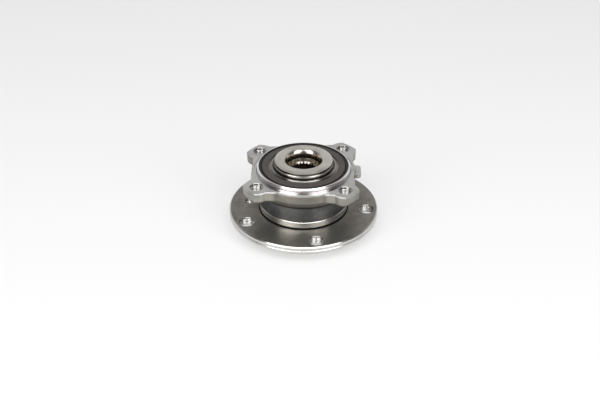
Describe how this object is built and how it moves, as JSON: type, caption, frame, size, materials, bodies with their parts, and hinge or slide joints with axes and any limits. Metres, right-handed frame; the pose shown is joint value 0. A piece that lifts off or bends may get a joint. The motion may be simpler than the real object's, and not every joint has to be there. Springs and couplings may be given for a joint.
{
  "type": "wheel hub bearing",
  "caption": "Driven wheel hub unit: splined hub with a drilled wheel flange, turning on ball rows inside a flanged outer ring with threaded carrier ears.",
  "frame": {"origin": "centre of the wheel-bolt circle on the brake disc's seat, which is the outboard face of the wheel flange", "axes": "+Z along the bearing axis, away from the wheel; +X along the symmetry axis of the carrier's ears, towards the pair that stands further apart; metres"},
  "size_m": [0.1404, 0.1404, 0.0688],
  "materials": {
    "hub_steel": "forged and turned, thin oil film",
    "carrier_steel": "forged and turned, satin",
    "bearing_steel": "ground",
    "ball_steel": "polished",
    "seal_steel": "pressed sheet",
    "seal_rubber": "matte",
    "encoder_rubber": "matte, magnetised",
    "cage_nylon": "glass-filled nylon"
  },
  "bodies": {
    "carrier": {"outer_ring": "carrier_steel", "inboard_seal_case": "seal_steel", "inboard_seal_lip": "seal_rubber", "outboard_seal_case": "seal_steel", "outboard_seal_lip": "seal_rubber"},
    "wheel_hub": {"hub": "hub_steel", "inner_ring": "bearing_steel", "inboard_slinger": "seal_steel", "encoder_ring": "encoder_rubber"},
    "outboard_ball_set": {"outboard_cage": "cage_nylon", "outboard_ball_01": "ball_steel", "outboard_ball_02": "ball_steel", "outboard_ball_03": "ball_steel", "outboard_ball_04": "ball_steel", "outboard_ball_05": "ball_steel", "outboard_ball_06": "ball_steel", "outboard_ball_07": "ball_steel", "outboard_ball_08": "ball_steel", "outboard_ball_09": "ball_steel", "outboard_ball_10": "ball_steel", "outboard_ball_11": "ball_steel", "outboard_ball_12": "ball_steel", "outboard_ball_13": "ball_steel", "outboard_ball_14": "ball_steel", "outboard_ball_15": "ball_steel"},
    "inboard_ball_set": {"inboard_cage": "cage_nylon", "inboard_ball_01": "ball_steel", "inboard_ball_02": "ball_steel", "inboard_ball_03": "ball_steel", "inboard_ball_04": "ball_steel", "inboard_ball_05": "ball_steel", "inboard_ball_06": "ball_steel", "inboard_ball_07": "ball_steel", "inboard_ball_08": "ball_steel", "inboard_ball_09": "ball_steel", "inboard_ball_10": "ball_steel", "inboard_ball_11": "ball_steel", "inboard_ball_12": "ball_steel", "inboard_ball_13": "ball_steel", "inboard_ball_14": "ball_steel", "inboard_ball_15": "ball_steel"}
  },
  "joints": [
    {"name": "hub_spin", "type": "hinge", "parent": "carrier", "child": "wheel_hub", "pos_m": [0, 0, 0.0313], "axis": [0, 0, 1], "continuous": true},
    {"name": "outboard_row_turn", "type": "hinge", "parent": "carrier", "child": "outboard_ball_set", "pos_m": [0, 0, 0.0223], "axis": [0, 0, 1], "continuous": true},
    {"name": "inboard_row_turn", "type": "hinge", "parent": "carrier", "child": "inboard_ball_set", "pos_m": [0, 0, 0.04032], "axis": [0, 0, 1], "continuous": true}
  ],
  "couplings": [
    {"joint": "outboard_row_turn", "follows": "hub_spin", "ratio": 0.4341},
    {"joint": "inboard_row_turn", "follows": "hub_spin", "ratio": 0.4341}
  ]
}
